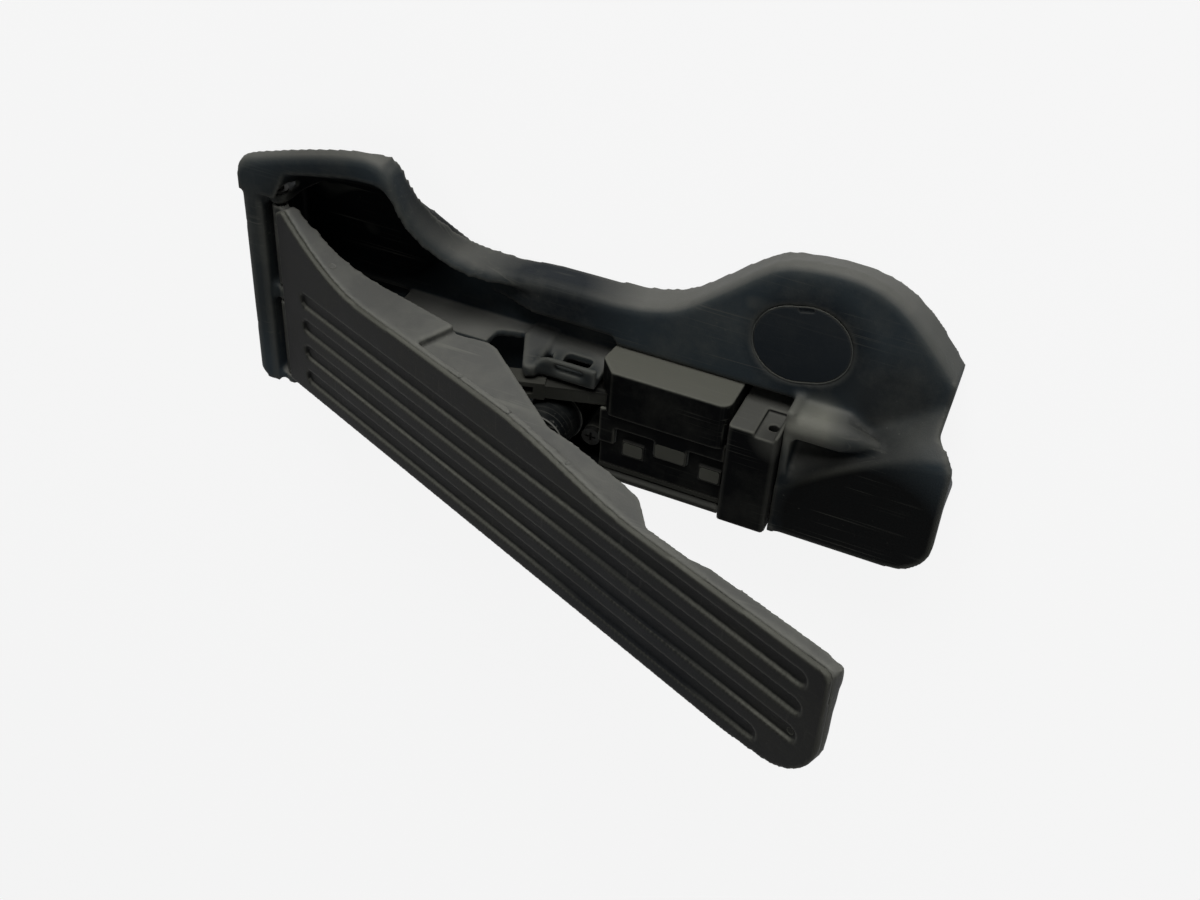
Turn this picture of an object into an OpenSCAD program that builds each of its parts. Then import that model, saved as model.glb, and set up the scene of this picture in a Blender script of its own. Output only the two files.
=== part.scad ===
// Floor-hinged accelerator pedal module. +X is the driver's right, +Y runs from heel to toe,
// +Z is up. The origin lies on the underside, straight below the pedal's hinge pin.

/* [Housing] */
// Height of the pedal surface above the underside, at the hinge
hinge_h = 32; // [31:0.5:34]
// Right-hand side of the housing
side_x = 42; // [41.5:0.5:44]
// Toe end of the housing
toe_y = 239.5; // [236:0.5:246]
// Heel end of the housing, behind the hinge
heel_y = -13.1; // [-14:0.1:-12]
// Moulded wall thickness of the housing
wall = 2.8; // [2.4:0.1:3.2]
// Top of the flat wing plate on the left
plate_h = 13.5; // [12.5:0.5:14.5]
// Top of the raised deck at the toe
deck_h = 25.4; // [24:0.2:26.6]
// Top of the right-hand side wall
side_h = 26; // [25:0.5:27]

/* [Pedal] */
// Slope of the pedal at rest, in degrees
pedal_angle = 23.1; // [22.5:0.1:24]
// Length of the pedal from hinge to free end
pedal_len = 251.9; // [248:0.5:258]
// Right-hand edge of the pedal pad
pad_right = 37.8; // [37:0.2:38.2]
// Depth of the rim around the pad
rim_depth = 9; // [8.5:0.5:9.5]
// Thickness of the soft tread skin
tread_t = 2; // [1.8:0.1:2.2]
// Thickness of the pedal plate under the tread
plate_t = 2.2; // [2:0.1:2.4]
// Spacing of the tread grooves
groove_pitch = 10.95; // [10.6:0.05:11.2]
// Width of each tread groove
groove_w = 5.8; // [5:0.2:6.2]
// Depth of each tread groove
groove_d = 1.1; // [0.8:0.1:1.3]
// Full travel of the pedal, in degrees
travel = 14; // [12:0.5:14]

/* [Hinge and drive] */
// Diameter of the hinge pin
hinge_pin_d = 3.6; // [3.2:0.2:4]
// Drop of the hinge pin below the pedal surface
hinge_drop = 5; // [4.8:0.1:5.4]
// Diameter of the lever shaft
shaft_d = 6; // [5:0.5:6.5]
// Diameter of the roller at the end of the lever
roller_d = 5; // [4.4:0.2:5.2]
// Radial running clearance of the turning fits
running = 0.05; // [0.03:0.01:0.08]

/* [Sensor] */
// Left-hand face of the sensor cover
cover_x = -4.5; // [-4.5:0.1:-4]
// Heel end of the sensor box
sensor_y = 121.5; // [121:0.5:123]
// Length of the sensor box along the pedal
sensor_len = 45.5; // [44:0.5:46]
// Top of the sensor cover
cover_h = 27.5; // [27:0.25:28.5]
// Length of the connector block along the pedal
block_len = 17; // [16:0.5:18]
// Top of the connector block
block_h = 29; // [28.5:0.25:30]
// Wall of the sensor box and its cover
box_wall = 1.8; // [1.6:0.1:2]

/* [Kickdown] */
// Diameter of the kickdown drum
drum_d = 18.4; // [17:0.2:19]
// Diameter of the kickdown plunger
plunger_d = 10; // [8:0.5:11]
// Travel of the kickdown plunger
plunger_travel = 4; // [3:0.5:4]

/* [Fixings] */
// Bore of the steel mounting sleeves
sleeve_bore = 6.6; // [6.4:0.1:7]
// Outer diameter of the steel mounting sleeves
sleeve_d = 11; // [10:0.5:12]
// Length of the steel mounting sleeves
sleeve_len = 7; // [6:0.5:8]
// Width of the oval blanking cap
cap_w = 28; // [26:0.5:29]

/* [Hidden] */
$fn = 64;
grey = [0.27, 0.27, 0.25];
black = [0.12, 0.13, 0.14];
olive = [0.19, 0.19, 0.16];
steel = [0.62, 0.63, 0.65];
brass = [0.78, 0.62, 0.3];
green = [0.1, 0.3, 0.2];
rubber = [0.09, 0.09, 0.09];
gap = 0.4;
past = 1;

// Housing floor levels and walls, from the heel to the toe
bay_floor = 3;
pocket_floor = 6;
heel_wall = 8.4;
strip_in = heel_y + heel_wall;
flange_t = 4.5;
notch_d = 1;
rim_r = 3.5;
pocket_y = 6;
bay_left = cover_x - 0.5;
trench_left = -8;
guide_x = 3;
guide_t = 3;
guide_top = 30;
sensor_end = sensor_y + sensor_len;
deck_heel = sensor_end + block_len + wall + 0.8;
wing_toe = toe_y - 6.3;
inner_side = side_x - wall;

// Hinge line and its three lugs, each from one X to another
hinge_z = hinge_h - hinge_drop;
pin_r = hinge_pin_d / 2;
lug_r = pin_r + 1.6;
barrel_r = hinge_drop - tread_t - 0.1;
left_lug = -37;
lug_w = 3.6;
mid_lug = 0.2;
mid_lug_w = 5.6;
lugs = [[left_lug, left_lug + lug_w], [mid_lug, mid_lug + mid_lug_w], [side_x - lug_w, side_x]];
pin_end = left_lug - 2.6;
barrel_gap = 0.6;

// Lever: its shaft, its roller and how far it swings
shaft_y = sensor_y + 13.5;
shaft_z = 16;
roller_y = sensor_y - 33.5;
roller_z = hinge_h - 2;
lever_x = 8;
lever_t = 5;
tine_t = 1.8;
tine_out = 0.8;
tine_half = 3.7;
axle_d = 3;
hub_r = 7.6;
blade_x = 9.4;
blade_t = 2.2;
slot_tilt = 2.8;
slot_play = 0.35;
slot_bar = 2;
fork_reach = 10;
arm_half = 3.6;
arm_slope = (roller_z - shaft_z) / (shaft_y - roller_y);
stop_y = sensor_y + 5.5;
stop_low = shaft_z + (shaft_y - stop_y) * arm_slope + arm_half * norm([1, arm_slope]) + 0.3;

// Sensor box
box_left = 16;
box_right = inner_side - 0.7;
base_h = cover_h - 2.9;
skirt_h = cover_h - 1.5;
ceiling = cover_h - box_wall;
cover_foot = sensor_y - 1.8;
cover_slope = 7;
dome_x = 13.5;
skirt_x = 19.5;
tongue_x = 26.5;
seal_t = 0.8;
boss_r = shaft_d / 2 + 2;
boss_len = 5.5;
block_y = sensor_end + 0.5;
block_left = 1;
socket_x = 26;
socket_low = 8;
socket_top = 24;
pin_rows = [11, 15.5, 20];
board_x = 24;
board_t = 1.6;
lug_screw = [28.3, sensor_y - 3.6];
lug_top = base_h - 3;
shank_r = 1.9;
shank_low = 1.4;
foot_t = 2.2;

// Kickdown drum
drum_x = 24.5;
drum_y = sensor_y - 8.3 - drum_d / 2;
collar_r = 10;
collar_h = 22.4;
cup_r = 7;
lid_t = 2.6;
flange_r = plunger_d / 2 + 1.4;
flange_h = 2;
press_angle = pedal_angle - travel;
strike_z = hinge_z + ((hinge_drop * cos(pedal_angle) - tread_t - plate_t)
    + (drum_y - plunger_d / 2) * sin(press_angle)) / cos(press_angle) - gap;
drum_h = strike_z - plunger_travel - 1.9;
plunger_low = drum_h - lid_t - flange_h - 0.1;

// Oval cap over the toe fixing
cap_x = -26;
cap_y = 183.5;
cap_turn = 14.5;
cap_slide = 5;
cap_t = 2.4;
cap_gap = 0.25;
heel_fix_x = 20;
heel_fix_y = 30;
well_wall = 2;

// Value at t of a smooth curve through points given as [t, value]
function curve(t, p) =
    let(
        n = len(p),
        i = max([0, for (k = [1 : n - 2]) if (p[k][0] <= t) k]),
        a = p[max(0, i - 1)],
        b = p[i],
        c = p[i + 1],
        d = p[min(n - 1, i + 2)],
        h = c[0] - b[0],
        u = max(0, min(1, (t - b[0]) / h)),
        m = (c[1] - a[1]) / (c[0] - a[0]) * h,
        q = (d[1] - b[1]) / (d[0] - b[0]) * h)
    (2 * u ^ 3 - 3 * u ^ 2 + 1) * b[1] + (u ^ 3 - 2 * u ^ 2 + u) * m
        + (3 * u ^ 2 - 2 * u ^ 3) * c[1] + (u ^ 3 - u ^ 2) * q;

// Smooth step from 0 to 1 as t runs from a to b
function ease(t, a, b) = let(u = max(0, min(1, (t - a) / (b - a)))) u * u * (3 - 2 * u);

// Unit vector
function unit(v) = v / norm(v);

// Points of an arc that rounds the corner q, on the way from p to n, with radius r
function corner_arc(p, q, n, r) =
    let(
        a = unit(p - q),
        b = unit(n - q),
        half = acos(max(-1, min(1, a * b))) / 2,
        back = r / tan(half),
        centre = q + unit(a + b) * r / sin(half),
        start = q + a * back - centre,
        turn = -sign(a.x * b.y - a.y * b.x) * (180 - 2 * half),
        steps = max(1, ceil(abs(turn) / 15)))
    [for (i = [0 : steps])
        let(t = turn * i / steps)
        centre + [start.x * cos(t) - start.y * sin(t), start.x * sin(t) + start.y * cos(t)]];

// Closed outline through corners given as [x, y, radius]
function rounded(c) =
    [for (i = [0 : len(c) - 1])
        let(
            p = c[(i + len(c) - 1) % len(c)],
            q = c[i],
            n = c[(i + 1) % len(c)])
        each (q.z > 0 ? corner_arc([p.x, p.y], [q.x, q.y], [n.x, n.y], q.z) : [[q.x, q.y]])];

// Closed solid through rings of points, one ring per station. Each end is closed by strips
// between the first half of its ring and the second half.
module loft(rings) {
    n = len(rings[0]);
    last = (len(rings) - 1) * n;
    polyhedron(
        points = [for (r = rings) each r],
        faces = [
            for (i = [0 : n / 2 - 2])
                each [[i, i + 1, n - 2 - i], [i, n - 2 - i, n - 1 - i]],
            for (k = [0 : n : last - n], i = [0 : n - 1])
                each [[k + i, k + n + i, k + (i + 1) % n],
                      [k + (i + 1) % n, k + n + i, k + n + (i + 1) % n]],
            for (i = [0 : n / 2 - 2])
                each [[last + n - 2 - i, last + i + 1, last + i],
                      [last + n - 1 - i, last + n - 2 - i, last + i]]],
        convexity = 6);
}

// Ring of a thin shell at y, from its upper side and its under side, given as [x, z]
function shell_ring(y, upper, under) = [
    for (p = upper) [p.x, y, p.y],
    for (k = [len(under) - 1 : -1 : 0]) [under[k].x, y, under[k].y]];

// Quarter circle over the rim, with radius r about the centre [x, z]
function rim_arc(x, z, r) = [for (a = [0 : 22.5 : 90]) [x - r * cos(a), z + r * sin(a)]];

// Box from one corner to the other
module block(low, high) {
    translate(low) cube(high - low);
}

// Round bar along X from x0 to x1, centred at y and z
module bar(x0, x1, y, z, r) {
    translate([x0, y, z]) rotate([0, 90, 0]) cylinder(h = x1 - x0, r = r);
}

// Slab along X from x0 to x1 with an outline drawn in Y and Z
module side_slab(x0, x1, outline) {
    translate([x0, 0, 0]) rotate([90, 0, 90]) linear_extrude(x1 - x0) polygon(outline);
}

// Coil of round wire along +X with its axis at y and z
module coil(x0, x1, y, z, mean_r, wire_r, turns, first, last_turn) {
    steps = round(turns * 20);
    sides = 8;
    function at(k) = first + (turns * 360 + last_turn) * k / steps;
    loft([for (k = [0 : steps])
        [for (i = [0 : sides - 1])
            let(
                a = at(k),
                b = -i * 360 / sides,
                r = mean_r + wire_r * cos(b))
            [x0 + wire_r + (x1 - x0 - 2 * wire_r) * k / steps + wire_r * sin(b),
             y + r * cos(a),
             z + r * sin(a)]]]);
}

// Left-hand edge of the wing in plan
function wing_edge(y) = curve(y, [
    [-16, -40.5], [-13.1, -46.4], [-12, -48], [-10.3, -49.4], [-8, -50.4], [10, -56], [27, -60.3], [36, -61.8], [41, -61.2], [45, -57.7],
    [49, -46], [54.7, -36.3], [62.7, -27.2], [70, -22.6], [79, -20.8], [100, -21.8], [118, -22],
    [128, -23], [136, -25], [142, -27.4], [150, -33.5], [160, -42], [170, -50.5], [176, -53.5],
    [190, -55.5], [200, -55], [207, -52.6], [215, -47.2], [226, -36], [240, -18.8]]);

// Height of the wing's rim and of the lower edge of its skirt
function rim_top(y) = plate_h + (hinge_h - plate_h) * (1 - ease(y, 40, 84));
function skirt_low(y) = lookup(y, [[38, hinge_h - flange_t], [47.5, 20.2], [54.5, 15], [61, 9.5],
    [70, 3], [80, 1], [90, 0]]);

// Width of the flange, foot of the pocket wall and height of the floor beside it
function flange_w(y) = lookup(y, [[-13, 8], [1, 7.5], [38, 9], [46, 8], [52, 5.4], [60, 4.6]]);
function pocket_foot(y) = curve(y, [
    [-8, -31], [6, -33], [34, -35], [41, -32], [54, -25], [62, -20], [70, -17], [93, -15.5],
    [130, -15.5], [150, -24], [165, -36], [190, -44], [205, -43], [220, -31], [240, -10]]);
function wing_floor(y) = pocket_floor + (plate_h - pocket_floor) * ease(y, 66, 93);
function wing_right(y) = y > sensor_y - 1.5 ? bay_left : trench_left;

// Width along X of the wing's wall, which is larger where its edge runs aslant
function wall_x(y) = let(lean = norm([1, (wing_edge(y + 1) - wing_edge(y - 1)) / 2]))
    wall * (1 + ease(y, 36, 44) * (min(3.2, lean) - 1));

// One cross-section of the wing: skirt, rounded rim, pocket wall, floor and inner wall
function wing_ring(y) =
    let(
        x = wing_edge(y),
        top = rim_top(y),
        low = skirt_low(y),
        tuck = 2.8 * ease(y, 160, 182) * (1 - ease(y, 200, 222)),
        lip = x + flange_w(y),
        foot = max(pocket_foot(y), lip + 1),
        bed = wing_floor(y),
        right = wing_right(y),
        q = rim_r - wall,
        in_x = x + wall_x(y),
        in_lip = max(lip - 1, in_x + q + 0.3),
        in_top = top - wall - max(0, in_lip - lip) * (top - bed) / (foot - lip))
    shell_ring(y,
        concat(
            [[x + tuck, low]],
            rim_arc(x + rim_r, top - rim_r, rim_r),
            [[lip, top], [foot, bed], [right, bed], [right, 0]]),
        concat(
            [[in_x + tuck, low]],
            rim_arc(in_x + q, in_top - q, q),
            [[in_lip, in_top], [foot - 1, bed - wall], [right - wall, bed - wall], [right - wall, 0]]));

// Cross-section of the flange at the heel, which ends beside the hinge's left lug
function heel_ring(y) =
    let(
        x = wing_edge(y),
        lip = x + flange_w(y),
        right = left_lug + gap,
        slope = y > pocket_y - past ? (right - lip) / (pocket_foot(y) - lip) : 0,
        end_z = hinge_h - slope * (hinge_h - pocket_floor))
    shell_ring(y,
        concat(
            [[x, hinge_h - flange_t]],
            rim_arc(x + rim_r, hinge_h - rim_r, rim_r),
            [[lip, hinge_h], [right, end_z]]),
        concat(
            [[x + wall, hinge_h - flange_t]],
            rim_arc(x + rim_r, hinge_h - rim_r, rim_r - wall),
            [[lip - 1, hinge_h - wall], [right, end_z - wall - 0.6]]));

// Outline of the right-hand part of the housing, moved inwards by i
function tray_outline(i) = rounded([
    [left_lug, heel_y + i, 0],
    [side_x - i, heel_y + i, 7.5 - i],
    [side_x - i, toe_y - i, 13 - i],
    [-2 - i / 2, toe_y - i, 5],
    [-15.5 - i / 2, wing_toe - i, 6],
    [-27 + i, wing_toe - i, 0],
    [-27 + i, wing_toe - 20, 0],
    [left_lug, wing_toe - 40, 0]]);

// Cross-section of the raised deck, with an S-shaped slope on its left
function deck_foot(y) = curve(y, [[180, 9], [189, 6], [204, 1.5], [218, -9], [231, -20], [241, -23]]);
function deck_crest(y) = curve(y, [[180, 27], [189, 21.5], [202.4, 10.7], [216.6, 2.2], [229.7, -1.7],
    [241, -3]]);
function deck_top(y) =
    let(
        foot = deck_foot(y),
        crest = deck_crest(y),
        n = 6,
        flat = plate_h - 0.1)
    concat([[min(bay_left - 1, foot - 0.5), flat]], [for (k = [0 : n])
        [foot + (crest - foot) * k / n, flat + (deck_h - flat) * ease(k, 0, n)]]);
function deck_ring(y) = shell_ring(y,
    concat(deck_top(y), [[inner_side + past, deck_h]]),
    concat([for (p = deck_top(y)) [p.x + 1, p.y - wall - 0.3]], [[inner_side + past, deck_h - wall]]));

// Room above the deck and its slope, that the toe wall keeps clear of
function toe_room(y) =
    let(edge = concat([[-45, plate_h]], deck_top(y)))
    shell_ring(y, [for (p = edge) [p.x, p.y + 30]], edge);

// The toe wall falls back below the deck's corner, along a valley from low to high. This is its
// section at a share t of the way, moved towards the heel by d.
valley_low = [3.5, toe_y - 8.8, 0];
valley_high = [-11.8, toe_y - 6.8, 20];
function valley(t, d) = valley_low + (valley_high - valley_low) * t - [0, d, 0];
valley_left = [-30, 2.3, 0];
valley_right = [27, 13, 0];
module toe_recess() {
    loft([for (t = [-0.1, 1.1]) [valley(t, 0) + valley_left, valley(t, -30) + valley_left,
        valley(t, -30) + valley_right, valley(t, 0) + valley_right, valley(t, 0) + valley_right * 0.01,
        valley(t, 0)]]);
}
module toe_liner() {
    difference() {
        intersection() {
            loft([for (t = [0, 1]) [valley(t, 0.02) + valley_left, valley(t, 0.02),
                valley(t, 0.02) + valley_right, valley(t, wall) + valley_right, valley(t, wall),
                valley(t, wall) + valley_left]]);
            translate([0, 0, -past]) linear_extrude(deck_h) polygon(tray_outline(0.3));
        }
        loft([for (y = [wing_toe - 8, wing_toe - 3, 235, toe_y + past]) toe_room(y)]);
    }
}

// Toe wall, side wall, heel wall and floor of the tray
module tray() {
    difference() {
        linear_extrude(deck_h) polygon(tray_outline(0));
        translate([0, 0, -past]) linear_extrude(deck_h + 2 * past) polygon(tray_outline(wall));
        block([left_lug - past, strip_in, -past], [side_x - wall - past, wing_toe - 41, deck_h + past]);
        block([-40, wing_toe - 60, -past], [trench_left, wing_toe - wall - 0.2, deck_h + past]);
        loft([for (y = [wing_toe - 8, wing_toe - 3, 235, toe_y + past]) toe_room(y)]);
        block([inner_side - 12, sensor_end, bay_floor], [side_x + past, deck_heel - wall, deck_h + past]);
    }
    block([13, toe_y - wall - 2, 0], [side_x - 12, toe_y - 2.4, deck_h - 4]);
    // Side wall up to its full height, and its ribbed foot
    difference() {
        block([inner_side, strip_in - past, 0], [side_x, deck_heel, side_h]);
        block([inner_side - past, sensor_end, bay_floor], [side_x + past, deck_heel - wall, side_h + past]);
    }
    // Heel strip
    difference() {
        side_slab(left_lug, side_x, rounded([[heel_y, 0, 0], [strip_in, 0, 0], [strip_in, hinge_h, 1.5],
            [heel_y, hinge_h, rim_r]]));
        difference() {
            block([side_x - 9, heel_y - past, -past], [side_x + past, heel_y + 9, hinge_h + past]);
            linear_extrude(hinge_h + past) polygon(tray_outline(0));
        }
    }
    // Floor of the bay and the pocket
    difference() {
        linear_extrude(bay_floor) polygon(tray_outline(0));
        block([-60, pocket_y + past, -past], [trench_left - past, toe_y + past, bay_floor + past]);
        block([-60, deck_heel, -past], [side_x - wall, toe_y + past, bay_floor + past]);
    }
    block([left_lug + past, strip_in - past, bay_floor - past], [guide_x + past, pocket_y + past, pocket_floor - 0.02]);
    translate([0, 0, bay_floor - past]) linear_extrude(pocket_floor - bay_floor + past - 0.02) polygon(concat(
        [for (y = [pocket_y : 10 : 66]) [max(-30, pocket_foot(y) - 1), y]],
        [[trench_left - past, 70], [trench_left - past, sensor_y - past],
         [guide_x + past, sensor_y - past],
         [guide_x + past, pocket_y]]));
}

// Lugs that carry the hinge pin
module hinge_lugs() {
    for (l = lugs)
        side_slab(l[0], l[1], concat(
            [[strip_in - past, 0], [lug_r, 0]],
            [for (a = [0 : 15 : 180]) [lug_r * cos(a), hinge_z + lug_r * sin(a)]],
            [[-lug_r, pocket_floor + 6], [strip_in - past, pocket_floor + 10]]));
    side_slab(left_lug, left_lug + lug_w,
        [[strip_in, 0], [pocket_y + past, 0], [pocket_y + past, pocket_floor], [lug_r, 18], [strip_in, 18]]);
}

// Guide wall between the pocket and the bay, with a post and a slotted plate on it
plate_z = 26.5;
module guide_wall() {
    difference() {
        side_slab(guide_x, guide_x + guide_t, [
            [38, 2], [38, 15], [50, 19], [60, 21.2], [76, 21], [77, 13], [86, 10.5], [91, 9.5], [99, 14],
            [102, plate_z], [cover_foot - gap, plate_z], [cover_foot - gap, 2]]);
        block([guide_x - past, 104, 14], [guide_x + guide_t + past, 114, 20]);
    }
    // Slanted post
    side_slab(guide_x - 1.6, guide_x + guide_t, rounded([[88, 7, 0], [97, 7, 0], [98.5, guide_top, 1.5],
        [94, guide_top, 1.5], [86.5, 12.5, 1]]));
    // Slotted plate between the post and the sensor cover
    difference() {
        translate([0, 0, plate_z - 2.4]) linear_extrude(2.4)
            polygon([[1, 96.5], [-1, 101], [-1.4, cover_foot - gap], [guide_x + guide_t, cover_foot - gap],
                [guide_x + guide_t + 0.5, 96.5]]);
        block([0.6, 104, plate_z - 3], [3, 115, plate_z + past]);
    }
}

// Well below the oval cap, and the seat that holds the cap
module stadium(grow, z0, z1) {
    translate([cap_x, cap_y, z0]) rotate([0, 0, cap_turn]) {
        for (s = [-1, 1])
            translate([0, s * cap_slide / 2, 0]) cylinder(h = z1 - z0, r = cap_w / 2 + grow);
        translate([-cap_w / 2 - grow, -cap_slide / 2, 0]) cube([cap_w + 2 * grow, cap_slide, z1 - z0]);
    }
}

// Cross ribs under the wing
module wing_ribs() {
    for (y = [100, 120, 140])
        block([wing_edge(y) + 2, y - 1, 0], [trench_left - past, y + 1, plate_h - past]);
    for (y = [160, 208, 222])
        block([wing_edge(y) + 4.5, y - 1, 0], [bay_left - past, y + 1, plate_h - past]);
    block([-13, 208, 0], [-11, wing_toe - past, plate_h - past]);
    difference() {
        union() {
            for (x = [10, 26])
                block([x, deck_heel - past, 0], [x + 2, toe_y - (x < 20 ? 9 : 3), deck_h - past]);
            block([bay_left - wall, deck_heel - wall, 0], [inner_side + past, deck_heel, deck_h - past]);
        }
        loft([for (y = [deck_heel, 192, 198, 204, 210, 217, 224, 230, toe_y]) toe_room(y)]);
    }
}

// Housing: one moulding
module housing() {
    color(grey) difference() {
        union() {
            loft([for (y = [heel_y, -12, -10.3, -8, -4, 1, pocket_y]) heel_ring(y)]);
            loft([for (y = [pocket_y, 14, 22, 30, 36, 40, 43, 45.5, 47.5, 49.5, 52, 55, 59, 63, 68, 73, 79,
                            84, 89, 94, 106, 118, 119.5, sensor_y - past, 128, 134,
                            139, 144, 149, 154, 160, 166, 171, 176, 182, 190, 198, 205, 210, 215, 221, 227,
                            wing_toe - 0.05])
                wing_ring(y)]);
            deck();
            boss();
            toe_liner();
            tray();
            hinge_lugs();
            guide_wall();
            wing_ribs();
            stadium(well_wall - cap_t + 1, 0, plate_h - past);
            translate([heel_fix_x, heel_fix_y, 0]) cylinder(h = sleeve_len, d = sleeve_d + 6);
            screw_posts();
        }
        toe_recess();
        // Draft of the toe wall
        translate([0, toe_y, deck_h - 3]) rotate([-5, 0, 0]) block([13, 0, -40], [side_x + past, 10, 0]);
        // Notches in the heel face
        for (x = [-30, 12])
            block([x, heel_y - past, hinge_h - 9], [x + 7.5, heel_y + notch_d, hinge_h - 0.8]);
        stadium(0, plate_h - cap_t - 0.1, plate_h + 20);
        difference() {
            stadium(-2, 4, plate_h + past);
            translate([cap_x, cap_y, 0]) cylinder(h = sleeve_len, d = sleeve_d + 4);
        }
        for (p = [[cap_x, cap_y], [heel_fix_x, heel_fix_y]])
            translate([p.x, p.y, -past]) cylinder(h = sleeve_len + 2 * past, d = sleeve_d);
        for (p = screws)
            translate([p.x, p.y, shank_low]) cylinder(h = bay_floor, r = shank_r);
        bar(pin_end - past, side_x + past, 0, hinge_z, pin_r);
        block([pin_end - 1.6, strip_in, hinge_z - lug_r - 1.4], [left_lug, lug_r + 1, hinge_z + pin_r + 1.9]);
        block([left_lug + lug_w, strip_in, pocket_floor], [mid_lug, 20, hinge_h + past]);
    }
}

// Deck at the toe, up to the tray's rounded outline
module deck() {
    intersection() {
        loft([for (y = [deck_heel - wall, 192, 198, 204, 210, 217, 224, 230, 235, toe_y + past])
            deck_ring(y)]);
        translate([0, 0, -past]) linear_extrude(deck_h + 2 * past) polygon(tray_outline(0.3));
    }
}

// Rounded ridge that runs from the connector block into the slope of the deck
module boss() {
    r = 5;
    len = 16;
    translate([-1, deck_heel - wall, deck_h - r - 0.4]) rotate([-90, 0, 0]) {
        cylinder(h = len + wall, r = r);
        translate([0, 0, len + wall]) cylinder(h = 12, r1 = r, r2 = r - 3);
    }
    block([-1 - r, deck_heel - wall, plate_h - wall], [r - 1, deck_heel + len, deck_h - r - 0.4]);
}

// Posts that the sensor box and the drum screw to
module screw_posts() {
    for (p = screws)
        translate([p.x, p.y, bay_floor - past]) cylinder(h = past + 0.4, r = 3.6);
}

// Oval cap over the toe fixing
module bolt_cap() {
    color(black) difference() {
        stadium(-cap_gap, plate_h - cap_t - 0.1, plate_h - 0.1);
        translate([cap_x, cap_y, plate_h - 1]) rotate([0, 0, cap_turn])
            translate([-cap_w / 2 - 1, 0.5, 0]) cube([3, 5, 2]);
    }
}

// Steel sleeves that the fixing screws pass through
module mounting_sleeves() {
    color(steel) for (p = [[cap_x, cap_y], [heel_fix_x, heel_fix_y]])
        translate([p.x, p.y, 0]) difference() {
            cylinder(h = sleeve_len, d = sleeve_d);
            translate([0, 0, -past]) cylinder(h = sleeve_len + 2 * past, d = sleeve_bore);
        }
}

// Hinge pin with a groove for its clip
module hinge_pin() {
    color(steel) difference() {
        bar(pin_end, side_x - 0.3, 0, hinge_z, pin_r);
        difference() {
            bar(left_lug - 1.5, left_lug - 0.5, 0, hinge_z, pin_r + past);
            bar(left_lug - 1.5, left_lug - 0.5, 0, hinge_z, pin_r - 0.6);
        }
    }
}

// Spring clip in the groove of the hinge pin
module pin_clip() {
    color(steel) difference() {
        bar(left_lug - 1.4, left_lug - 0.6, 0, hinge_z, pin_r + 1.5);
        bar(left_lug - 2, left_lug, 0, hinge_z, pin_r - 0.6);
        block([left_lug - 2, -1, hinge_z - 5], [left_lug, 1, hinge_z]);
    }
}

// Start of the pad, its cut heel corner, the round of its free end, and its left-hand edge
pad_heel = 1.4;
pad_in = 4.6;
end_r = 20;
function pad_left(s) = s < 46
    ? -16.6 - 20.5 * pow(1 - s / 46, 1.8)
    : -16.6 - 0.6 * ease(s, 46, 115) + 7.6 * ease(s, 115, 178) - max(0, s - 178) / 45;

// Outline of the pad in X and along its length, moved inwards by i
function pad_outline(i) = concat(
    [[pad_left(pad_in) + 1.8 + i, pad_heel + i]],
    [for (k = [0 : 10]) let(s = pad_in + (46 - pad_in) * k / 10) [pad_left(s) + i, s]],
    [for (s = [115 : 7 : 178]) [pad_left(s) + i, s]],
    corner_arc([pad_left(200) + i, 200], [pad_left(pedal_len) + i, pedal_len - 1 - i],
        [pad_right - 2 - end_r, pedal_len - i], 3.5),
    [for (a = [90 : -9 : 0])
        [pad_right - 1.3 - end_r + (end_r - i) * cos(a), pedal_len - end_r + (end_r - i) * sin(a)]],
    [[pad_right - i, pedal_len - 34], [pad_right - i, pad_heel + i]]);

// Puts a shape drawn on the pad's surface at the pedal's rest slope
module on_pedal() {
    translate([0, 0, hinge_h]) rotate([pedal_angle, 0, 0]) children();
}

// Lower edge of the web on the left, and the plane that the web stands in
web_step = 74;
web_in = 0.15;
function web_depth(s) = lookup(s, s < web_step
    ? [[0, 6.5], [9, 7.4], [13.5, 8.4], [23.7, 10.4], [33, 13], [44, 15.9], [58, 17.7], [web_step, 19.3]]
    : [[web_step, 19.8], [84.6, 25.1], [88.6, 25.2], [130, 11], [161, 12.8], [168, 12.5], [173, 9.2],
       [178.7, 5.2], [196, 5.3], [202, 6.9], [pedal_len - 6.5, 7.1], [pedal_len - 2.5, 5.4]]);
function web_x(s) = s < web_step
    ? pad_left(s) + web_in
    : lookup(s, [[web_step, -13.5], [140, -13.2], [168, -9.6], [178, -9.4],
        [260, pad_left(260) + 0.2]]);
function web_ring(s) = [
    [web_x(s), s, -web_depth(s)],
    [web_x(s), s, -tread_t - 0.5],
    [web_x(s) + 2.4, s, -tread_t - 0.5],
    [web_x(s) + 2.4, s, -web_depth(s)]];

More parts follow.
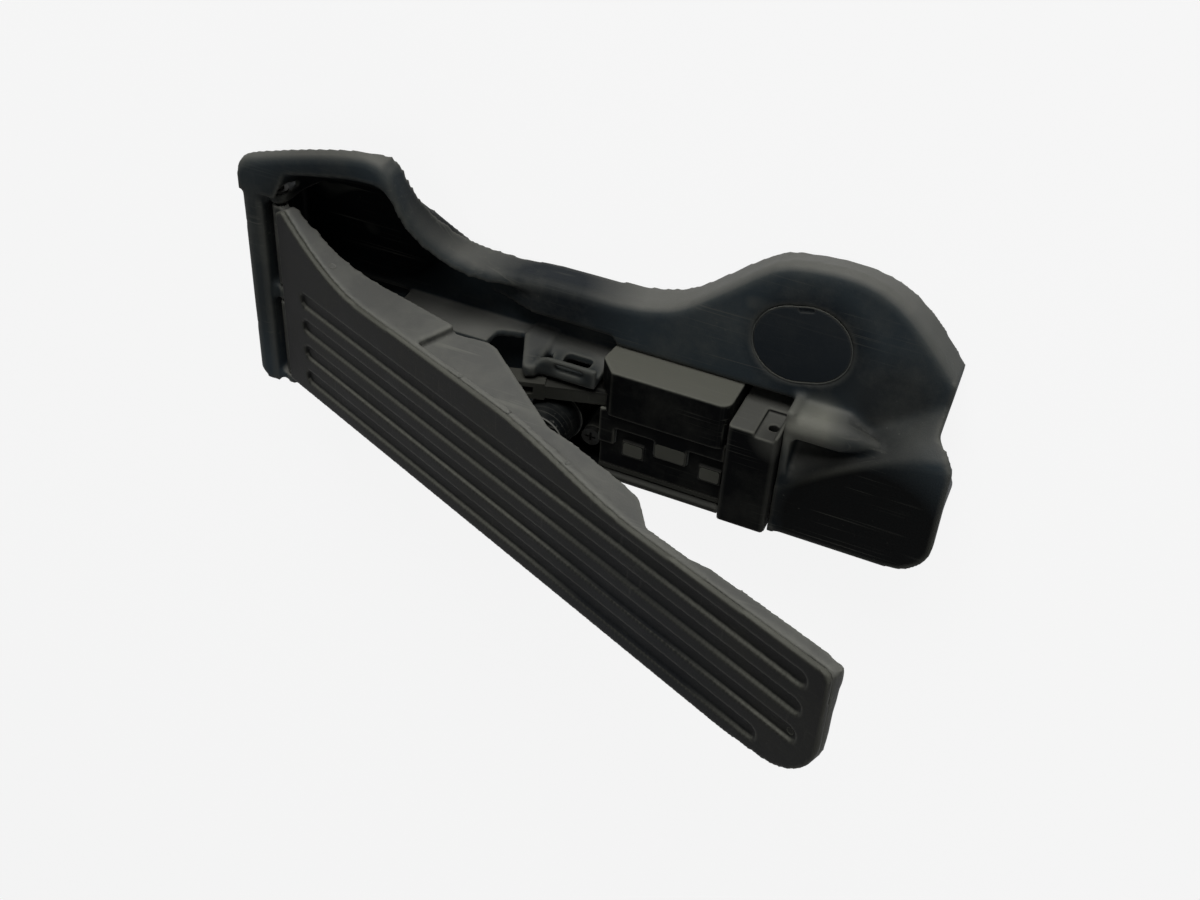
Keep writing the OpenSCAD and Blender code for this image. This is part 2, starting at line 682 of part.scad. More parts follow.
// Stiff carrier of the pedal: plate, rim, web, ribs, hinge barrels and the drive blade
module pedal_carrier() {
    s_pin = -hinge_drop * sin(pedal_angle);
    end_back = 0.8;
    end_low = -tread_t - plate_t - 0.2;
    color(grey) difference() {
        union() {
            on_pedal() {
                translate([0, 0, -tread_t - plate_t]) linear_extrude(plate_t) polygon(pad_outline(0));
                difference() {
                    translate([0, 0, -rim_depth]) linear_extrude(rim_depth - tread_t - 0.5)
                        polygon(pad_outline(0));
                    translate([0, 0, -rim_depth - past]) linear_extrude(rim_depth)
                        polygon(pad_outline(2.2));
                    block([-30, web_step, -rim_depth - past], [-7.4, pedal_len - 3, -tread_t - plate_t]);
                    block([-40, -past, -rim_depth - past], [-27, 13, -7]);
                    // The rim of the free end stands back and gets shallower to the right
                    block([-40, pedal_len - end_back, -rim_depth - past], [pad_right + past, pedal_len + 5, end_low]);
                    translate([0, pedal_len + 3, 0]) rotate([90, 0, 0]) linear_extrude(16)
                        polygon([[-40, -6.2], [-5, -7], [18, end_low], [pad_right + 3, end_low], [pad_right + 3, -12],
                            [-40, -12]]);
                }
                block([pad_left(pedal_len) + 1, pedal_len - 5, -6.5], [-4, pedal_len - end_back, -tread_t - 1]);
                block([-5, pedal_len - 5, end_low - 1], [15, pedal_len - end_back, -tread_t - 1]);
                loft([for (s = [pad_in, 9, 13, 19, 25, 31, 38, 46, 57, web_step - 0.01]) web_ring(s)]);
                loft([for (s = [web_step, 84.6, 88.6, 109, 130, 140, 150, 161, 168, 173, 178.7, 196, 202,
                                pedal_len - 6.5, pedal_len - 2.5])
                    web_ring(s)]);
                block([web_x(web_step - 1) + web_in, web_step - 2, web_in - web_depth(web_step - 2)],
                    [web_x(web_step) + 2, web_step - 0.2, -tread_t - 0.6]);
                pedal_ribs();
            }
            // Hinge barrels, each joined to the heel of the plate by a short neck
            for (x = [[left_lug + lug_w, mid_lug], [mid_lug + mid_lug_w, side_x - lug_w]]) {
                bar(x[0] + barrel_gap, x[1] - barrel_gap, 0, hinge_z, barrel_r);
                on_pedal() block([x[0] + barrel_gap + 0.5, s_pin + 0.4, -tread_t - plate_t + 0.3],
                    [x[1] - barrel_gap - 0.5, pad_heel + 1.3, -tread_t - 0.6]);
            }
            drive_blade();
        }
        bar(left_lug, side_x, 0, hinge_z, pin_r + running);
        // Room for the hinge lugs
        for (l = lugs) {
            bar(l[0] - gap, l[1] + gap, 0, hinge_z, lug_r + gap);
            on_pedal() block([l[0] - gap + 0.1, s_pin - 6, -20], [l[1] + gap - 0.1, 8, 0.1 - tread_t - plate_t]);
        }
    }
}

// Ribs under the pedal plate, clear of the kickdown plunger and the drive blade
module pedal_ribs() {
    low = -tread_t - plate_t + 0.2;
    for (x = [-3, 20, 30])
        for (s = [[2, 92], [136, pedal_len - (x < 30 ? 3 : 12)]])
            block([x - 1, s[0], -rim_depth + 0.5], [x + 1, s[1], low]);
    for (s = [40, 66, 92, 136, 170, pedal_len - 47.5, pedal_len - 20.5])
        block([web_x(s) + 1, s - 1, -6], [pad_right - past - 2, s + 1, low]);
}

// Blade under the pedal, with the slot that drives the lever's roller
module drive_blade() {
    r = roller_d / 2 + slot_play;
    slope = tan(pedal_angle);
    top = hinge_h - (tread_t + plate_t / 2) / cos(pedal_angle);
    difference() {
        side_slab(blade_x, blade_x + blade_t, rounded([
            [roller_y - 7.4, roller_z - r - slot_bar, 4],
            [roller_y + 6.2, roller_z - r - slot_bar, 4],
            [roller_y + 6.2, roller_z + 9, 0],
            [roller_y + 9, top + (roller_y + 9) * slope, 0],
            [roller_y - 16, top + (roller_y - 16) * slope, 0],
            [roller_y - 7.4, roller_z + 9, 0]]));
        translate([0, roller_y, roller_z]) rotate([slot_tilt, 0, 0]) {
            bar(blade_x - past, blade_x + blade_t + past, -2.1, 0, r);
            bar(blade_x - past, blade_x + blade_t + past, 0.8, 0, r);
            block([blade_x - past, -2.1, -r], [blade_x + blade_t + past, 0.8, r]);
        }
    }
}

// Soft tread with four long grooves
module pedal_tread() {
    color(olive) difference() {
        on_pedal() difference() {
            translate([0, 0, -tread_t]) linear_extrude(tread_t) polygon(pad_outline(0));
            for (k = [0 : 3])
                groove(-3.1 + k * groove_pitch, 13, pedal_len - (k < 3 ? 7.5 : 20.5));
        }
        for (l = lugs)
            bar(l[0] - gap, l[1] + gap, 0, hinge_z, lug_r + gap);
    }
}

// One groove with rounded ends
module groove(x, s0, s1) {
    translate([x, 0, -groove_d]) {
        for (s = [s0 + groove_w / 2, s1 - groove_w / 2])
            translate([0, s, 0]) cylinder(h = 2 * groove_d, d = groove_w);
        translate([-groove_w / 2, s0 + groove_w / 2, 0])
            cube([groove_w, s1 - s0 - groove_w, 2 * groove_d]);
    }
}

// Box for the electronics, open to the right
module sensor_housing() {
    color(black) difference() {
        union() {
            difference() {
                block([box_left, sensor_y + 0.5, bay_floor], [box_right - box_wall, sensor_end, base_h]);
                block([box_left + box_wall, sensor_y + 0.5 + box_wall, bay_floor + box_wall],
                    [box_right, sensor_end - box_wall, base_h - box_wall]);
            }
            bar(box_left, box_left + 4, shaft_y, shaft_z, shaft_d / 2 + 3.4);
            translate([lug_screw.x, lug_screw.y, bay_floor + 0.4]) cylinder(h = lug_top - bay_floor - 0.4, r = 3.6);
            block([lug_screw.x - 3.6, lug_screw.y, bay_floor + 0.4],
                [lug_screw.x + 3.6, sensor_y + 1, lug_top]);
            // Snap noses beside the tongues of the cover
            for (y = [sensor_y + 9, sensor_y + 37])
                block([box_left + 8, y, base_h - past], [box_left + 14, y + 8, base_h + 1]);
        }
        bar(box_left - past, box_left + 5, shaft_y, shaft_z, shaft_d / 2 + 1);
        block([box_left + 4.5, sensor_end - 3, 8], [box_left + 8, sensor_end + past, 21]);
        translate([lug_screw.x, lug_screw.y, 0]) cylinder(h = base_h, r = 2.1);
    }
}

// Cover over the lever, with a slot in its heel wall
module sensor_cover() {
    right = box_left - seal_t;
    slot_y = cover_foot - past;
    color(grey) difference() {
        union() {
            difference() {
                union() {
                    side_slab(cover_x, dome_x, rounded([[sensor_y, bay_floor, 0], [sensor_end, bay_floor, 0],
                        [sensor_end, cover_h, 4], [sensor_y + 4, cover_h, 1.5],
                        [cover_foot, cover_h - cover_slope, 1]]));
                    block([dome_x - past, sensor_y, bay_floor], [right, sensor_end, skirt_h]);
                }
                side_slab(cover_x + box_wall, dome_x - box_wall, rounded([
                    [sensor_y + box_wall, bay_floor + box_wall, 0],
                    [sensor_end - box_wall, bay_floor + box_wall, 0],
                    [sensor_end - box_wall, ceiling, 2.5],
                    [sensor_y + box_wall + 3.1, ceiling, 0.5],
                    [sensor_y + box_wall, cover_h - cover_slope + 1.5, 0]]));
                block([dome_x - box_wall - past, sensor_y + box_wall, bay_floor + box_wall],
                    [right + past, sensor_end - box_wall, skirt_h - box_wall]);
            }
            // Skirt and tongues over the electronics box
            block([right - past, sensor_y, base_h + 0.1], [skirt_x, sensor_end, skirt_h]);
            for (y = [sensor_y, sensor_y + 20.5])
                block([skirt_x - past, y, base_h + 0.1], [tongue_x, y + (y > sensor_y ? 12 : 6), skirt_h]);
            bar(cover_x + past, cover_x + boss_len, shaft_y, shaft_z, boss_r);
        }
        bar(cover_x + box_wall, cover_x + boss_len + past, shaft_y, shaft_z, shaft_d / 2 + 1);
        block([lever_x - 1.2, slot_y, 8.4], [lever_x + lever_t + 1.2, sensor_y + box_wall + past, 24.6]);
    }
}

// Seal between the cover and the electronics box
module cover_seal() {
    color(rubber) difference() {
        block([box_left - seal_t, sensor_y + 0.5, bay_floor], [box_left, sensor_end, base_h]);
        block([box_left - seal_t - past, sensor_y + 0.5 + box_wall, bay_floor + box_wall],
            [box_left + past, sensor_end - box_wall, base_h - box_wall]);
    }
}

// Lid on the right of the electronics box
module electronics_lid() {
    color(black) union() {
        block([box_right - box_wall, sensor_y + 0.5, bay_floor], [box_right, sensor_end, base_h]);
        block([box_right - box_wall - 1.2, sensor_y + 0.6 + box_wall, bay_floor + 0.1 + box_wall],
            [box_right - box_wall, sensor_end - box_wall - 0.1, base_h - box_wall - 0.1]);
    }
}

// Pins of the connector, from the circuit board into the socket
terminal_w = 0.8;
module terminals() {
    w = terminal_w;
    y_in = sensor_end - 4;
    color(brass) for (z = pin_rows, row = [0, 1]) {
        y = block_y + 5.5 + row * 6;
        x = box_left + 6.4 - row * 1.4;
        block([x, y_in, z], [board_x, y_in + w, z + w]);
        block([x, y_in, z], [x + w, y + w, z + w]);
        block([x, y, z], [side_x - 6, y + w, z + w]);
    }
}

// Connector block with a socket that opens to the right
module connector_block() {
    top = block_h;
    toe = block_y + block_len;
    color(grey) difference() {
        side_slab(block_left, side_x - 0.5, rounded([[block_y, bay_floor, 0], [toe, bay_floor, 0],
            [toe, top, 1.5], [block_y, top, 1.5]]));
        block([socket_x, block_y + 3, socket_low], [side_x + past, toe - 3, socket_top]);
        // Recess with a round hole in the left face
        block([block_left - past, block_y + 9, 14], [block_left + 1.5, toe - 1.2, top + past]);
        bar(block_left, block_left + 6, block_y + 13.5, 21.5, 1.8);
        block([side_x - 4, block_y + 6, socket_top - past], [side_x, toe - 6, socket_top + 2]);
        terminals();
    }
}

// Circuit board with its sensor chip
module circuit_board() {
    color(green) difference() {
        union() {
            block([board_x, sensor_y + 3.5, bay_floor + box_wall], [board_x + board_t, sensor_end - 3.4, base_h - 2.2]);
            block([board_x + board_t, shaft_y - 4, shaft_z - 4], [board_x + board_t + 1.5, shaft_y + 4, shaft_z + 4]);
            block([board_x + board_t, shaft_y + 10, 9], [board_x + board_t + 4, shaft_y + 16, 15]);
        }
        bar(board_x - past, board_x + board_t + past, sensor_y + 6, 20, 1.2);
    }
}

// Screws of the sensor box and the kickdown drum, with recessed heads
screws = [lug_screw, [drum_x - 6, drum_y - 13.5], [drum_x + 8, drum_y - 12.5]];
module box_screws() {
    heads = [lug_top, bay_floor + 0.4 + foot_t, bay_floor + 0.4 + foot_t];
    color(steel) for (k = [0 : 2])
        translate([screws[k].x, screws[k].y, heads[k]]) difference() {
            union() {
                cylinder(h = 2, r = 3.4);
                translate([0, 0, shank_low - heads[k]]) cylinder(h = heads[k] - shank_low + 0.1, r = shank_r);
            }
            for (a = [0, 90])
                rotate([0, 0, a]) translate([-2, -0.4, 1]) cube([4, 0.8, 2]);
        }
}

// Lever with a fork for the roller and a hub on the shaft
module lever() {
    a = atan2(roller_z - shaft_z, roller_y - shaft_y);
    reach = norm([roller_y - shaft_y, roller_z - shaft_z]);
    color(black) difference() {
        union() {
            bar(lever_x, lever_x + lever_t, shaft_y, shaft_z, hub_r);
            translate([0, shaft_y, shaft_z]) rotate([a, 0, 0]) {
                side_slab(lever_x, lever_x + lever_t, [[4.5, -arm_half], [reach - fork_reach - 1, -arm_half],
                    [reach - fork_reach - 1, arm_half], [4.5, arm_half]]);
                side_slab(lever_x - tine_out, lever_x + lever_t + tine_out, rounded([
                    [reach - fork_reach - 4, -tine_half, 0], [reach + arm_half, -tine_half, 3.5],
                    [reach + arm_half, tine_half, 3.5], [reach - fork_reach - 4, tine_half, 0]]));
            }
        }
        translate([0, shaft_y, shaft_z]) rotate([a, 0, 0])
            block([lever_x - tine_out + tine_t, reach - fork_reach, -5],
                [lever_x + lever_t + tine_out - tine_t, reach + 5, 5]);
        bar(lever_x - past, lever_x + lever_t + past, shaft_y, shaft_z, shaft_d / 2);
        bar(lever_x - 2, lever_x + lever_t + 2, roller_y, roller_z, axle_d / 2);
    }
}

// Shaft that carries the lever and the rotor
module lever_shaft() {
    color(steel) bar(cover_x + box_wall + 0.2, box_left + 6.5, shaft_y, shaft_z, shaft_d / 2);
}

// Bushes at both ends of the shaft
module shaft_bushes() {
    color(brass) for (x = [[cover_x + box_wall + 0.1, cover_x + boss_len], [box_left, box_left + 4]])
        difference() {
            bar(x[0], x[1], shaft_y, shaft_z, shaft_d / 2 + 1);
            bar(x[0] - past, x[1] + past, shaft_y, shaft_z, shaft_d / 2 + running);
        }
}

// Magnet ring at the end of the shaft, facing the circuit board
module rotor_magnet() {
    color([0.25, 0.25, 0.27]) difference() {
        bar(box_left + 4.4, box_left + 7.2, shaft_y, shaft_z, 6);
        bar(box_left + 4, box_left + 6.5, shaft_y, shaft_z, shaft_d / 2);
    }
}

// Outer return spring round the cover's boss, against the cover's wall
spring_x = cover_x + box_wall + 0.05;
module return_spring() {
    color(steel) coil(spring_x, lever_x - 0.3, shaft_y, shaft_z, boss_r + 3.1, 0.9, 4, 20, 0);
}

// Inner spring inside the outer one
module assist_spring() {
    color(steel) coil(spring_x, lever_x - 0.3, shaft_y, shaft_z, boss_r + 1, 0.6, 4, 200, 0);
}

// Axle of the roller, held in the fork
module roller_axle() {
    color(steel) bar(lever_x - tine_out, lever_x + lever_t + tine_out, roller_y, roller_z, axle_d / 2);
}

// Roller that runs in the slot of the pedal's blade
module drive_roller() {
    color([0.85, 0.84, 0.8]) difference() {
        bar(lever_x - tine_out + tine_t + 0.15, lever_x + lever_t + tine_out - tine_t - 0.15,
            roller_y, roller_z, roller_d / 2);
        bar(lever_x, lever_x + lever_t, roller_y, roller_z, axle_d / 2 + running);
    }
}

// Friction shoe that rubs on the lever's hub
module friction_shoe() {
    y0 = shaft_y + 3;
    color([0.5, 0.42, 0.3]) difference() {
        block([lever_x + 0.3, y0, bay_floor + box_wall], [lever_x + lever_t - 0.3, y0 + 9, shaft_z + 6]);
        bar(lever_x - past, lever_x + lever_t + past, shaft_y, shaft_z, hub_r + 0.3);
    }
}

// Rubber stop that the lever rests against, under the roof of the cover
module lever_stop() {
    color(rubber) block([lever_x - 0.5, stop_y, stop_low], [dome_x - box_wall - 0.1, stop_y + 3.2, ceiling]);
}

// Kickdown drum: a cup with a lid and a foot for two screws
module kickdown_drum() {
    color(black) difference() {
        union() {
            translate([drum_x, drum_y, bay_floor]) cylinder(h = drum_h - bay_floor, d = drum_d);
            translate([drum_x, drum_y, bay_floor]) cylinder(h = collar_h - bay_floor, r = collar_r);
            for (k = [1, 2])
                translate([0, 0, bay_floor + 0.4]) linear_extrude(foot_t) polygon(concat(
                    [for (a = [180 : 20 : 360]) [screws[k].x + 3.8 * cos(a), screws[k].y + 3.8 * sin(a)]],
                    [[screws[k].x + 3.8, drum_y - 6], [screws[k].x - 3.8, drum_y - 6]]));
        }
        translate([drum_x, drum_y, bay_floor + 2]) cylinder(h = drum_h - bay_floor - 2 - lid_t, r = cup_r);
        translate([drum_x, drum_y, bay_floor]) cylinder(h = drum_h, r = plunger_d / 2 + running);
        for (k = [1, 2])
            translate([screws[k].x, screws[k].y, bay_floor]) cylinder(h = foot_t + past, r = shank_r);
    }
}

// Plunger that the pedal reaches at the end of its travel
module kickdown_plunger() {
    color(black) translate([drum_x, drum_y, 0]) difference() {
        union() {
            translate([0, 0, plunger_low]) cylinder(h = strike_z - plunger_low - 1, d = plunger_d);
            translate([0, 0, strike_z - 1]) cylinder(h = 1, d = plunger_d - 1.6);
            translate([0, 0, plunger_low]) cylinder(h = flange_h, r = flange_r);
        }
        translate([0, 0, plunger_low - past]) cylinder(h = 6, r = plunger_d / 2 - 2);
    }
}

// Spring under the plunger
module kickdown_spring() {
    low = bay_floor + 2.05;
    turns = 7;
    wire_r = 0.6;
    mean_r = plunger_d / 2 + 0.3;
    span = plunger_low - 0.05 - low - 2 * wire_r;
    color(steel) loft([for (k = [0 : turns * 20])
        let(a = k * 18)
        [for (i = [0 : 7])
            let(r = mean_r + wire_r * cos(i * 45))
            [drum_x + r * cos(a), drum_y + r * sin(a),
             low + wire_r + span * k / (turns * 20) + wire_r * sin(i * 45)]]]);
}

housing();
bolt_cap();
mounting_sleeves();
hinge_pin();
pin_clip();
pedal_carrier();
pedal_tread();
sensor_housing();
sensor_cover();
cover_seal();
electronics_lid();
connector_block();
terminals();
circuit_board();
box_screws();
lever();
lever_shaft();
shaft_bushes();
rotor_magnet();
return_spring();
assist_spring();
roller_axle();
drive_roller();
friction_shoe();
lever_stop();
kickdown_drum();
kickdown_plunger();
kickdown_spring();
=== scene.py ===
from math import cos, radians, sin

import bmesh
import bpy
from mathutils import Matrix, Vector
from mathutils.bvhtree import BVHTree


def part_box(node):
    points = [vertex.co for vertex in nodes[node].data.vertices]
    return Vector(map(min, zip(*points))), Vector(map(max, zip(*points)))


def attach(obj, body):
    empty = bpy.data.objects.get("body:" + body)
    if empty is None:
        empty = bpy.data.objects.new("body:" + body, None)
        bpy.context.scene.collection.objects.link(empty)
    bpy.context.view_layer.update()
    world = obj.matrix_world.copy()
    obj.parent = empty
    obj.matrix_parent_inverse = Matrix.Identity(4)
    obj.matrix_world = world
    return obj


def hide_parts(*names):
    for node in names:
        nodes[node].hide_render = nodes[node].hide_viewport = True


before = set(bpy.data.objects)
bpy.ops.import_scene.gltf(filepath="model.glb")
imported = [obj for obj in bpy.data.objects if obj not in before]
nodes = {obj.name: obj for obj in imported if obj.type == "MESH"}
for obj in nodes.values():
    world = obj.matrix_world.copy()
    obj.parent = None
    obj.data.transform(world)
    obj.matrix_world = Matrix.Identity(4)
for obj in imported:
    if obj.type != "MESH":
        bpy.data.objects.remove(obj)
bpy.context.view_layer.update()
scene = bpy.context.scene

# Camera: it stands to the driver's left of the toe end and looks down over the module, as the
# photograph does. Its place and turn come from a camera fitted to the photograph.
MM = 0.001
sensor_mm = 36
focal_px = 1474
frame_px = 1200
eye = Vector((-291.1, 265.8, 393.9)) * MM
to_right = Vector((-0.0551, 0.9134, -0.4033)).normalized()
to_down = Vector((0.7732, 0.2946, 0.5616)).normalized()
to_back = -to_right.cross(to_down)
camera = bpy.data.objects.new("camera", bpy.data.cameras.new("camera"))
scene.collection.objects.link(camera)
camera.data.sensor_width = sensor_mm
camera.data.lens = sensor_mm * focal_px / frame_px
camera.data.clip_start = 0.01
camera.data.clip_end = 50
camera.matrix_world = Matrix.LocRotScale(eye, Matrix((to_right, -to_down, to_back)).transposed(), None)
scene.camera = camera


# World and floor: a plain white ground that the camera sees as white, and soft daylight-coloured
# lamps. The brightest comes over the module's left side, so side walls show lighter than tops.
def linear(hex_code):
    """Linear RGBA of an sRGB hex colour."""
    parts = [int(hex_code[i:i + 2], 16) / 255 for i in (1, 3, 5)]
    return (*[c / 12.92 if c <= 0.04045 else ((c + 0.055) / 1.055) ** 2.4 for c in parts], 1)


def add(tree, kind, settings=None, links=None):
    """Adds a node with its settings, and links its inputs from (node, output) pairs."""
    node = tree.nodes.new(kind)
    for name, value in (settings or {}).items():
        if isinstance(name, int) or name in node.inputs:
            node.inputs[name].default_value = value
        else:
            setattr(node, name, value)
    for name, source in (links or {}).items():
        tree.links.new(source[0].outputs[source[1]], node.inputs[name])
    return node


def seen_rays(tree):
    """Output that is 1 for the rays that see the plain white background, and that of mirrored rays."""
    path = add(tree, "ShaderNodeLightPath")
    straight = add(tree, "ShaderNodeMath", {"operation": "MAXIMUM"},
                   {0: (path, "Is Camera Ray"), 1: (path, "Is Transmission Ray")})
    return straight, (path, "Is Glossy Ray")


world = bpy.data.worlds.new("studio")
scene.world = world
world.use_nodes = True
tree = world.node_tree
tree.nodes.clear()
straight, glossy = seen_rays(tree)
# Mirrored rays see the white backdrop up to about 35 degrees, and the unlit ceiling above it
direction = add(tree, "ShaderNodeTexCoord")
height = add(tree, "ShaderNodeSeparateXYZ", None, {0: (direction, "Generated")})
backdrop = add(tree, "ShaderNodeMapRange", {"From Min": 0.6, "From Max": 0.3, "To Max": 0.9},
               {"Value": (height, "Z")})
mirrored = add(tree, "ShaderNodeMath", {"operation": "MULTIPLY"}, {0: glossy, 1: (backdrop, 0)})
seen = add(tree, "ShaderNodeMath", {"operation": "MAXIMUM"}, {0: (straight, 0), 1: (mirrored, 0)})
white = add(tree, "ShaderNodeBackground", {"Color": (1, 1, 1, 1)})
dim = add(tree, "ShaderNodeBackground", {"Color": (0.86, 0.93, 1, 1), "Strength": 0.07})
mix = add(tree, "ShaderNodeMixShader", None, {0: (seen, 0), 1: (dim, 0), 2: (white, 0)})
add(tree, "ShaderNodeOutputWorld", None, {"Surface": (mix, 0)})

# The floor lies just under the module, and keeps a share of its own matt paint for the shadow
floor_gap_mm = 0.2
floor_half_m = 6
white_share = 0.88
ground_mesh = bpy.data.meshes.new("ground")
shape = bmesh.new()
bmesh.ops.create_grid(shape, x_segments=1, y_segments=1, size=floor_half_m)
bmesh.ops.translate(shape, verts=shape.verts, vec=(0, 0, -floor_gap_mm * MM))
shape.to_mesh(ground_mesh)
shape.free()
ground = bpy.data.objects.new("ground", ground_mesh)
scene.collection.objects.link(ground)
ground_paint = bpy.data.materials.new("white_floor_paint")
ground_paint.use_nodes = True
tree = ground_paint.node_tree
tree.nodes.clear()
straight, glossy = seen_rays(tree)
seen = add(tree, "ShaderNodeMath", {"operation": "MAXIMUM"}, {0: (straight, 0), 1: glossy})
share = add(tree, "ShaderNodeMath", {"operation": "MULTIPLY", 1: white_share}, {0: (seen, 0)})
white = add(tree, "ShaderNodeEmission", {"Color": (1, 1, 1, 1)})
matt = add(tree, "ShaderNodeBsdfDiffuse", {"Color": linear("#dadada")})
mix = add(tree, "ShaderNodeMixShader", None, {0: (share, 0), 1: (matt, 0), 2: (white, 0)})
add(tree, "ShaderNodeOutputMaterial", None, {"Surface": (mix, 0)})
ground_mesh.materials.append(ground_paint)

lamp_aim = Vector((-10, 120, 30)) * MM
for name, place, size, watts in (
        ("left_lamp", (-1.5, 0.1, 0.4), 1.0, 24),
        ("top_lamp", (-0.4, 0.5, 1.8), 1.2, 4.5),
        ("right_lamp", (1.6, 0.9, 0.9), 1.2, 3)):
    lamp = bpy.data.objects.new(name, bpy.data.lights.new(name, "AREA"))
    lamp.data.size = size
    lamp.data.energy = watts
    lamp.location = place
    lamp.rotation_euler = (lamp_aim - Vector(place)).to_track_quat("-Z", "Y").to_euler()
    scene.collection.objects.link(lamp)


# Housing: one moulding in glass-filled polyamide, which gives a matt black-grey skin with a fine
# grain. Road dust has settled on it as a film, mostly on the faces towards the left, which are
# also painted lighter, as painted light from the left.
def per_metre(size):
    """Pattern scale that gives cells of a size in millimetres."""
    return 1 / (size * MM)


def near(tree, place, centre, reach, soft):
    """Node that is 1 within reach of a point, all in millimetres, and fades over a soft edge."""
    span = add(tree, "ShaderNodeVectorMath", {"operation": "DISTANCE", 1: [c * MM for c in centre]},
               {0: (place, "Object")})
    return add(tree, "ShaderNodeMapRange", {"From Min": (reach + soft) * MM, "From Max": reach * MM},
               {"Value": (span, "Value")})


def layered(tree, base, layers):
    """Output of a base colour under layers, each a node that gives its share and a colour."""
    below = None
    for share, tint in layers:
        colours = {"data_type": "RGBA", 6: linear(base), 7: linear(tint)}
        sources = {0: (share, 0)}
        if below is not None:
            sources[6] = (below, 2)
        below = add(tree, "ShaderNodeMix", colours, sources)
    return below, 2


def plastic(name, base, left_dust_and_light, dust_and_edge_highlight, cloud_share=0.3, grain_mm=0.5, rough=0.55, scratch=0.3, spots=(),
            dark_patches=(), edge=0.5, specular=0.2):
    """Moulded plastic: base colour, dust and painted light on the left faces, cloudy dust, edges
    worn and made pale by a painted highlight, streak-like scratches and a fine grain. Spots lie
    under the dust and dark patches over it; each is a centre, a reach, a soft margin and a colour."""
    paint = bpy.data.materials.new(name)
    paint.use_nodes = True
    tree = paint.node_tree
    tree.nodes.clear()
    place = add(tree, "ShaderNodeTexCoord")
    facing = add(tree, "ShaderNodeSeparateXYZ", None, {0: (place, "Normal")})
    # Faces towards the left get dust, and are painted lighter too, as painted light from the left
    left_dust_and_light_share = add(tree, "ShaderNodeMapRange", {"From Min": -0.3, "From Max": -0.8}, {"Value": (facing, "X")})
    # Clouds of dust, about 20 mm across
    cloud = add(tree, "ShaderNodeTexNoise", {"Scale": per_metre(22.2222), "Detail": 9, "Roughness": 0.68},
                {"Vector": (place, "Object")})
    dusted = add(tree, "ShaderNodeMapRange", {"From Min": 0.45, "From Max": 0.7, "To Max": cloud_share},
                 {"Value": (cloud, 0)})
    # Scratches are streaks of noise about 1 mm wide and 60 mm long, along the module
    stretch = add(tree, "ShaderNodeMapping",
                  {"Scale": [per_metre(size) for size in (0.90909, 62.5, 2)], "Rotation": (0.2, 0.1, 0.5)},
                  {"Vector": (place, "Object")})
    streak = add(tree, "ShaderNodeTexNoise", {"Scale": 1, "Detail": 2}, {"Vector": (stretch, 0)})
    marks = add(tree, "ShaderNodeMapRange", {"From Min": 0.6, "From Max": 0.7, "To Max": scratch},
                {"Value": (streak, 0)})
    # Nicks are shorter and finer, and run across
    across = add(tree, "ShaderNodeMapping",
                 {"Scale": [per_metre(size) for size in (16.6667, 25, 0.625)], "Rotation": (0.9, 0.5, -0.7)},
                 {"Vector": (place, "Object")})
    nick = add(tree, "ShaderNodeTexNoise", {"Scale": 1, "Detail": 1}, {"Vector": (across, 0)})
    nicks = add(tree, "ShaderNodeMapRange", {"From Min": 0.66, "From Max": 0.72, "To Max": scratch},
                {"Value": (nick, 0)})
    both = add(tree, "ShaderNodeMath", {"operation": "MAXIMUM"}, {0: (marks, 0), 1: (nicks, 0)})
    # Both come in patches, about 25 mm across
    patchy = add(tree, "ShaderNodeTexNoise", {"Scale": per_metre(25), "Detail": 1},
                 {"Vector": (place, "Object")})
    there = add(tree, "ShaderNodeMapRange", {"From Min": 0.45, "From Max": 0.62}, {"Value": (patchy, 0)})
    rubbed = add(tree, "ShaderNodeMath", {"operation": "MULTIPLY"}, {0: (both, 0), 1: (there, 0)})
    # Specks of light grit, about 0.5 mm across and 4 mm apart, where the dust lies
    grit = add(tree, "ShaderNodeTexVoronoi", {"Scale": per_metre(3.84615)}, {"Vector": (place, "Object")})
    speck = add(tree, "ShaderNodeMapRange", {"From Min": 0.1, "From Max": 0.06, "To Max": 0.35},
                {"Value": (grit, "Distance")})
    gritty = add(tree, "ShaderNodeMath", {"operation": "MULTIPLY"}, {0: (speck, 0), 1: (dusted, 0)})
    # Edges are rubbed pale, and a painted highlight on convex edges makes them paler still
    bend = add(tree, "ShaderNodeNewGeometry")
    worn_and_lit_edges = add(tree, "ShaderNodeMapRange", {"From Min": 0.505, "From Max": 0.545, "To Max": edge},
               {"Value": (bend, "Pointiness")})
    under, over = [[(near(tree, place, centre, reach, soft), tint) for centre, reach, soft, tint in patches]
                   for patches in (spots, dark_patches)]
    colour = layered(tree, base, [(left_dust_and_light_share, left_dust_and_light), *under, (dusted, dust_and_edge_highlight), *over, (rubbed, dust_and_edge_highlight),
                                  (gritty, "#8a8a80"), (worn_and_lit_edges, dust_and_edge_highlight)])
    grain = add(tree, "ShaderNodeTexNoise", {"Scale": per_metre(grain_mm), "Detail": 3},
                {"Vector": (place, "Object")})
    bump = add(tree, "ShaderNodeBump", {"Strength": 0.35, "Distance": 0.2 * MM}, {"Height": (grain, 0)})
    gloss = add(tree, "ShaderNodeMapRange", {"To Min": rough - 0.08, "To Max": rough + 0.16},
                {"Value": (cloud, 0)})
    skin = add(tree, "ShaderNodeBsdfPrincipled", {"IOR": 1.45, "Specular IOR Level": specular},
               {"Base Color": colour, "Roughness": (gloss, 0), "Normal": (bump, 0)})
    add(tree, "ShaderNodeOutputMaterial", None, {"Surface": (skin, 0)})
    return paint


